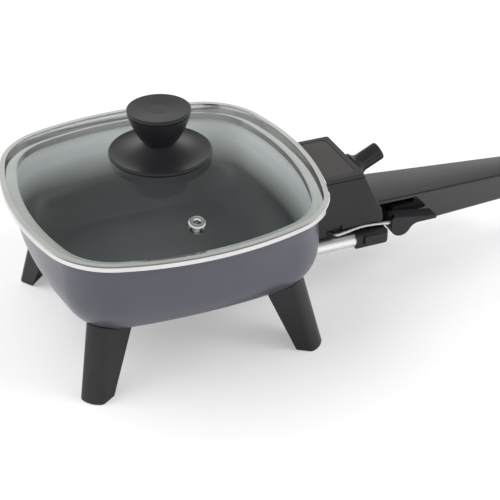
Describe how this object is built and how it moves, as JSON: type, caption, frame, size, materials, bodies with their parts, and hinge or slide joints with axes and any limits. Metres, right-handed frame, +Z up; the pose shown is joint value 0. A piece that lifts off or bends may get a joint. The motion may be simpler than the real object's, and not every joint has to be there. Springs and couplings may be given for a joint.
{
  "type": "electric skillet",
  "caption": "Square electric skillet with round corners on legs, a loose domed glass lid with a turned knob, and a pull-off thermostat box with a long handle between guard arms.",
  "frame": {"origin": "middle of the whole length and width, on the plane that the feet stand on", "axes": "+X from the pan towards the handle's end, +Y towards the rear, +Z up"},
  "size_m": [0.334, 0.178, 0.1359],
  "materials": {
    "pan_enamel": "gloss",
    "element_sheath": "satin",
    "plated_steel": "satin",
    "satin_tube": "satin",
    "polished_steel": "polished",
    "ceramic": "matte",
    "black_plastic": "satin",
    "gloss_black": "gloss",
    "panel_brown": "satin",
    "switch_body": "matte",
    "clear_glass": "polished",
    "black_rubber": "matte"
  },
  "bodies": {
    "pan_body": {"pan": "pan_enamel", "heating_element": "element_sheath", "terminal_pins": "plated_steel", "insulator_beads": "ceramic", "terminal_guard": "plated_steel", "guard_arm_front": "satin_tube", "guard_arm_rear": "satin_tube", "arm_cap_front": "black_plastic", "arm_cap_rear": "black_plastic", "arm_screws": "plated_steel", "leg_front_left": "black_plastic", "leg_front_right": "black_plastic", "leg_rear_left": "black_plastic", "leg_rear_right": "black_plastic", "leg_screws": "plated_steel"},
    "lid": {"lid_glass": "clear_glass", "lid_band": "polished_steel", "steam_vent": "polished_steel", "lid_knob": "black_plastic", "lid_knob_cap": "black_plastic", "lid_screw": "plated_steel", "knob_gasket": "black_rubber", "inner_washer": "plated_steel"},
    "control_unit": {"control_box": "black_plastic", "control_box_cover": "black_plastic", "top_panel": "panel_brown", "box_screws": "plated_steel", "thermostat": "switch_body", "terminal_block": "black_plastic", "contact_sleeves": "plated_steel", "temperature_probe": "plated_steel", "cord_bush": "black_rubber", "handle_top": "gloss_black", "handle_lower": "gloss_black", "handle_screws": "plated_steel", "lever_pin": "plated_steel", "lever_spring": "plated_steel"},
    "dial": {"dial_shaft": "plated_steel", "thermostat_knob": "black_plastic"},
    "lever": {"release_lever": "black_plastic"},
    "rod": {"push_rod": "plated_steel"}
  },
  "joints": [
    {"name": "lid_lift", "type": "slide", "parent": "pan_body", "child": "lid", "axis": [0, 0, 1], "range_m": [0, 0.12]},
    {"name": "unit_slide", "type": "slide", "parent": "pan_body", "child": "control_unit", "axis": [1, 0, 0], "range_m": [0, 0.045]},
    {"name": "dial_turn", "type": "hinge", "parent": "control_unit", "child": "dial", "pos_m": [0.04405, 0, 0.0716], "axis": [0.8995, 0, 0.4368], "range_deg": [0, 270]},
    {"name": "lever_press", "type": "hinge", "parent": "control_unit", "child": "lever", "pos_m": [0.0658, -0.0224, 0.0384], "axis": [0, -1, 0], "range_deg": [0, 20], "stiffness_Nm_per_rad": 0.06, "springref_deg": -20.05},
    {"name": "rod_push", "type": "slide", "parent": "control_unit", "child": "rod", "axis": [-1, 0, 0], "range_m": [0, 0.0023]}
  ],
  "couplings": [
    {"joint": "rod_push", "follows": "lever_press", "m_per_rad": 0.0064}
  ]
}
